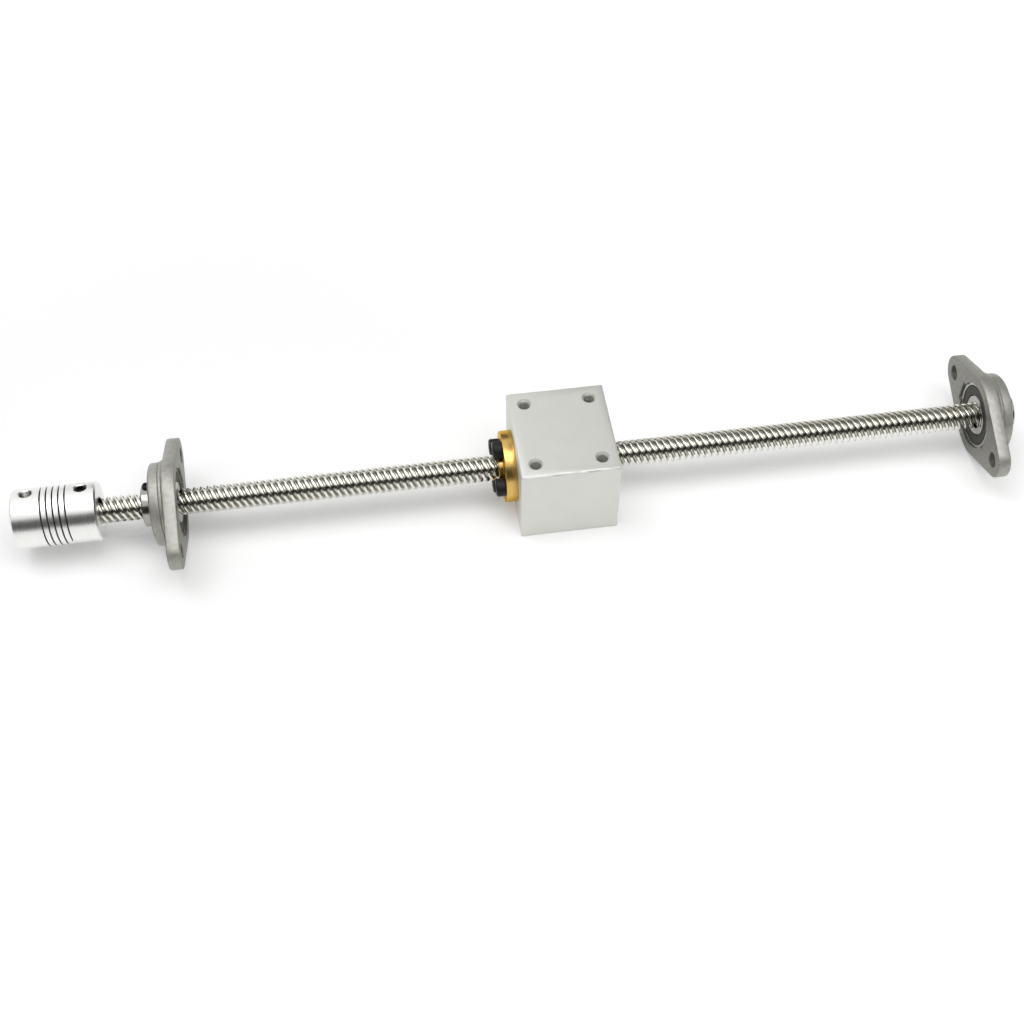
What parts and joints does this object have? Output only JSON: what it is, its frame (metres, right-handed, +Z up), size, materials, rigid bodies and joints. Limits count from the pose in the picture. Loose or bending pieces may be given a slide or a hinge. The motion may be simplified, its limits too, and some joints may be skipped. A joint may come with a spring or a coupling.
{
  "type": "lead screw drive",
  "caption": "Trapezoidal lead screw in two flange bearings, with a flanged brass nut in a block and a flexible coupling for a motor shaft.",
  "frame": {"origin": "on the screw's axis, in the mounting face of the drive bearing's housing, which is the one beside the coupling", "axes": "+X along the screw towards the far bearing, +Y level along the housings' flanges, +Z up, out of the nut block's drilled top"},
  "size_m": [0.3075, 0.048, 0.028],
  "materials": {
    "screw_steel": "rolled bright steel",
    "turned_aluminium": "turned, clear anodised",
    "anodised_aluminium": "sawn and milled, matt clear anodised",
    "die_cast_zinc": null,
    "bearing_steel": "ground bearing steel",
    "ball_steel": "polished bearing steel",
    "cage_nylon": "natural nylon",
    "seal_rubber": "moulded nitrile rubber",
    "black_steel": "black oxide on steel",
    "nut_brass": "turned brass"
  },
  "bodies": {
    "drive_housing": {"drive_housing": "die_cast_zinc"},
    "drive_bearing": {"drive_outer_ring": "bearing_steel", "drive_inboard_seal": "seal_rubber", "drive_outboard_seal": "seal_rubber"},
    "screw": {"lead_screw": "screw_steel", "coupling_body": "turned_aluminium", "coupling_screw_side_set_screws": "black_steel", "coupling_motor_side_set_screws": "black_steel", "drive_inner_ring": "bearing_steel", "drive_collar_set_screws": "black_steel", "far_inner_ring": "bearing_steel", "far_collar_set_screws": "black_steel"},
    "drive_cage": {"drive_balls": "ball_steel", "drive_cage": "cage_nylon"},
    "nut": {"nut": "nut_brass", "nut_block": "anodised_aluminium", "nut_screws": "black_steel"},
    "far_bearing": {"far_outer_ring": "bearing_steel", "far_inboard_seal": "seal_rubber", "far_outboard_seal": "seal_rubber"},
    "far_cage": {"far_balls": "ball_steel", "far_cage": "cage_nylon"},
    "far_housing": {"far_housing": "die_cast_zinc"}
  },
  "joints": [
    {"name": "drive_tilt", "type": "hinge", "parent": "drive_housing", "child": "drive_bearing", "pos_m": [-0.0041, 0, 0], "axis": [0, 0, 1], "range_deg": [-5, 5]},
    {"name": "screw_spin", "type": "hinge", "parent": "drive_bearing", "child": "screw", "pos_m": [0, 0, 0], "axis": [1, 0, 0], "range_deg": [-5200, 4250]},
    {"name": "drive_cage_turn", "type": "hinge", "parent": "drive_bearing", "child": "drive_cage", "pos_m": [-0.0041, 0, 0], "axis": [1, 0, 0], "range_deg": [-1920, 1570]},
    {"name": "nut_travel", "type": "slide", "parent": "drive_bearing", "child": "nut", "axis": [1, 0, 0], "range_m": [-0.0925, 0.114]},
    {"name": "far_bearing_turn", "type": "hinge", "parent": "drive_bearing", "child": "far_bearing", "pos_m": [0.2511, 0, 0], "axis": [1, 0, 0], "continuous": true},
    {"name": "far_cage_turn", "type": "hinge", "parent": "far_bearing", "child": "far_cage", "pos_m": [0.2511, 0, 0], "axis": [1, 0, 0], "range_deg": [-1920, 1570]},
    {"name": "far_tilt", "type": "hinge", "parent": "far_bearing", "child": "far_housing", "pos_m": [0.2511, 0, 0], "axis": [0, 0, 1], "range_deg": [-5, 5]}
  ],
  "couplings": [
    {"joint": "screw_spin", "follows": "nut_travel", "rad_per_m": -785.4},
    {"joint": "drive_cage_turn", "follows": "nut_travel", "rad_per_m": -288.67},
    {"joint": "far_cage_turn", "follows": "nut_travel", "rad_per_m": -288.67}
  ]
}
